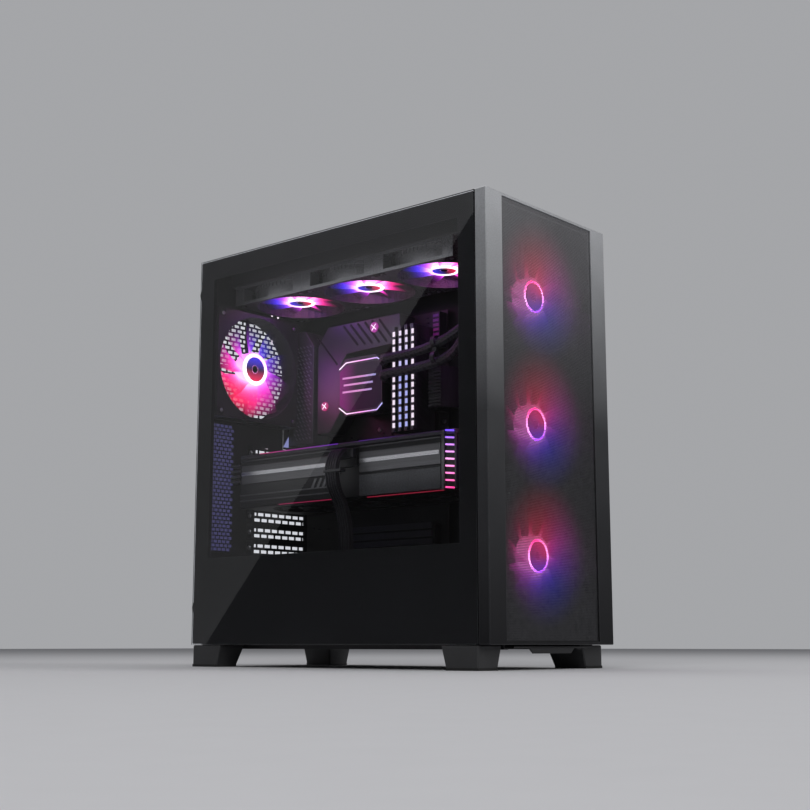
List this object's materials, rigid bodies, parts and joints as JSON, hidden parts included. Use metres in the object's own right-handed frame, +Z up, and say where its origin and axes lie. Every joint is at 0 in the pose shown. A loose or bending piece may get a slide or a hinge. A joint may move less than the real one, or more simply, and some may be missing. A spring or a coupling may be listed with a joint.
{
  "type": "desktop computer tower",
  "caption": "Upright desktop computer case with a glass side, mesh front, lit fans, liquid cooler, main board, graphics card and power supply, standing on four feet.",
  "frame": {"origin": "on the floor under the middle of the case, at the bottom centre of its bounding box", "axes": "+Z up, front faces -Y, glass side faces -X"},
  "size_m": [0.23, 0.463, 0.5074],
  "materials": {
    "coated_steel": "fine-textured powder coat",
    "front_coat": "satin brushed dark grey coat",
    "mesh_steel": "matt black fine mesh",
    "tinted_glass": "lightly tinted toughened glass with a printed dark border",
    "black_plastic": "fine matt black",
    "blade_plastic": "frosted, lit from the hub",
    "black_rubber": "matt black",
    "screw_steel": "satin black",
    "radiator_paint": "satin black",
    "tube_sleeve": "braided sleeve",
    "cable_sleeve": "braided sleeve",
    "circuit_board": "black solder mask",
    "sink_metal": "brushed, dark anodised",
    "card_metal": "brushed grey",
    "bracket_steel": "plated",
    "button_metal": "satin"
  },
  "bodies": {
    "chassis": {"chassis_floor": "coated_steel", "rear_wall": "coated_steel", "motherboard_tray": "coated_steel", "top_frame": "coated_steel", "front_bulkhead": "coated_steel", "psu_shroud": "coated_steel", "foot_front_left": "black_rubber", "foot_front_right": "black_rubber", "foot_rear_left": "black_rubber", "foot_rear_right": "black_rubber", "front_fan_lower_frame": "black_plastic", "front_fan_middle_frame": "black_plastic", "front_fan_upper_frame": "black_plastic", "top_fan_front_frame": "black_plastic", "top_fan_middle_frame": "black_plastic", "top_fan_rear_frame": "black_plastic", "rear_fan_frame": "black_plastic", "radiator": "radiator_paint", "pump_block": "black_plastic", "coolant_tube_upper": "tube_sleeve", "coolant_tube_lower": "tube_sleeve", "motherboard": "circuit_board", "io_shroud": "sink_metal", "vrm_heatsink": "sink_metal", "memory_module_1": "sink_metal", "memory_module_2": "sink_metal", "memory_module_3": "sink_metal", "memory_module_4": "sink_metal", "gpu_shroud": "card_metal", "gpu_backplate": "sink_metal", "gpu_bracket": "bracket_steel", "psu_body": "radiator_paint", "gpu_power_cable": "cable_sleeve", "board_power_cable": "cable_sleeve", "slot_cover_1": "coated_steel", "slot_cover_2": "coated_steel", "slot_cover_3": "coated_steel", "slot_cover_4": "coated_steel", "front_io_board": "black_plastic"},
    "glass_door": {"glass_panel": "tinted_glass", "glass_panel_frame": "coated_steel"},
    "side_door": {"right_panel": "coated_steel"},
    "front_cover": {"front_panel": "front_coat", "front_mesh": "mesh_steel"},
    "roof_filter": {"top_filter": "black_plastic"},
    "floor_filter": {"bottom_filter": "black_plastic"},
    "power_key": {"power_button": "button_metal"},
    "reset_key": {"reset_button": "button_metal"},
    "thumbscrew_low": {"thumbscrew_lower": "screw_steel"},
    "thumbscrew_high": {"thumbscrew_upper": "screw_steel"},
    "front_fan_lower_spinner": {"front_fan_lower_rotor": "blade_plastic"},
    "front_fan_middle_spinner": {"front_fan_middle_rotor": "blade_plastic"},
    "front_fan_upper_spinner": {"front_fan_upper_rotor": "blade_plastic"},
    "top_fan_front_spinner": {"top_fan_front_rotor": "blade_plastic"},
    "top_fan_middle_spinner": {"top_fan_middle_rotor": "blade_plastic"},
    "top_fan_rear_spinner": {"top_fan_rear_rotor": "blade_plastic"},
    "rear_fan_spinner": {"rear_fan_rotor": "blade_plastic"},
    "gpu_fan_front_spinner": {"gpu_fan_front_rotor": "black_plastic"},
    "gpu_fan_middle_spinner": {"gpu_fan_middle_rotor": "black_plastic"},
    "gpu_fan_rear_spinner": {"gpu_fan_rear_rotor": "black_plastic"}
  },
  "joints": [
    {"name": "glass_door_pull", "type": "slide", "parent": "chassis", "child": "glass_door", "axis": [-1, 0, 0], "range_m": [0, 0.12]},
    {"name": "side_door_pull", "type": "slide", "parent": "chassis", "child": "side_door", "axis": [1, 0, 0], "range_m": [0, 0.12]},
    {"name": "front_cover_pull", "type": "slide", "parent": "chassis", "child": "front_cover", "axis": [0, -1, 0], "range_m": [0, 0.1]},
    {"name": "roof_filter_lift", "type": "slide", "parent": "chassis", "child": "roof_filter", "axis": [0, 0, 1], "range_m": [0, 0.08]},
    {"name": "floor_filter_slide", "type": "slide", "parent": "chassis", "child": "floor_filter", "axis": [0, -1, 0], "range_m": [0, 0.25]},
    {"name": "front_fan_lower_spin", "type": "hinge", "parent": "chassis", "child": "front_fan_lower_spinner", "pos_m": [0, -0.21745, 0.1217], "axis": [0, 1, 0], "continuous": true},
    {"name": "front_fan_middle_spin", "type": "hinge", "parent": "chassis", "child": "front_fan_middle_spinner", "pos_m": [0, -0.21745, 0.2667], "axis": [0, 1, 0], "continuous": true},
    {"name": "front_fan_upper_spin", "type": "hinge", "parent": "chassis", "child": "front_fan_upper_spinner", "pos_m": [0, -0.21745, 0.4117], "axis": [0, 1, 0], "continuous": true},
    {"name": "top_fan_front_spin", "type": "hinge", "parent": "chassis", "child": "top_fan_front_spinner", "pos_m": [-0.006, -0.08845, 0.4565], "axis": [0, 0, 1], "continuous": true},
    {"name": "top_fan_middle_spin", "type": "hinge", "parent": "chassis", "child": "top_fan_middle_spinner", "pos_m": [-0.006, 0.03155, 0.4565], "axis": [0, 0, 1], "continuous": true},
    {"name": "top_fan_rear_spin", "type": "hinge", "parent": "chassis", "child": "top_fan_rear_spinner", "pos_m": [-0.006, 0.15155, 0.4565], "axis": [0, 0, 1], "continuous": true},
    {"name": "rear_fan_spin", "type": "hinge", "parent": "chassis", "child": "rear_fan_spinner", "pos_m": [-0.035, 0.19835, 0.378], "axis": [0, 1, 0], "continuous": true},
    {"name": "gpu_fan_front_spin", "type": "hinge", "parent": "chassis", "child": "gpu_fan_front_spinner", "pos_m": [-0.0041, -0.0824, 0.194], "axis": [0, 0, 1], "continuous": true},
    {"name": "gpu_fan_middle_spin", "type": "hinge", "parent": "chassis", "child": "gpu_fan_middle_spinner", "pos_m": [-0.0041, 0.0256, 0.194], "axis": [0, 0, 1], "continuous": true},
    {"name": "gpu_fan_rear_spin", "type": "hinge", "parent": "chassis", "child": "gpu_fan_rear_spinner", "pos_m": [-0.0041, 0.1336, 0.194], "axis": [0, 0, 1], "continuous": true},
    {"name": "power_press", "type": "slide", "parent": "chassis", "child": "power_key", "axis": [0, 0, -1], "range_m": [0, 0.001], "stiffness_N_per_m": 900, "springref_m": -0.0005},
    {"name": "reset_press", "type": "slide", "parent": "chassis", "child": "reset_key", "axis": [0, 0, -1], "range_m": [0, 0.001], "stiffness_N_per_m": 700, "springref_m": -0.0005},
    {"name": "thumbscrew_low_turn", "type": "hinge", "parent": "chassis", "child": "thumbscrew_low", "pos_m": [-0.1045, 0.22595, 0.071], "axis": [0, 1, 0], "continuous": true},
    {"name": "thumbscrew_high_turn", "type": "hinge", "parent": "chassis", "child": "thumbscrew_high", "pos_m": [-0.1045, 0.22595, 0.466], "axis": [0, 1, 0], "continuous": true}
  ]
}
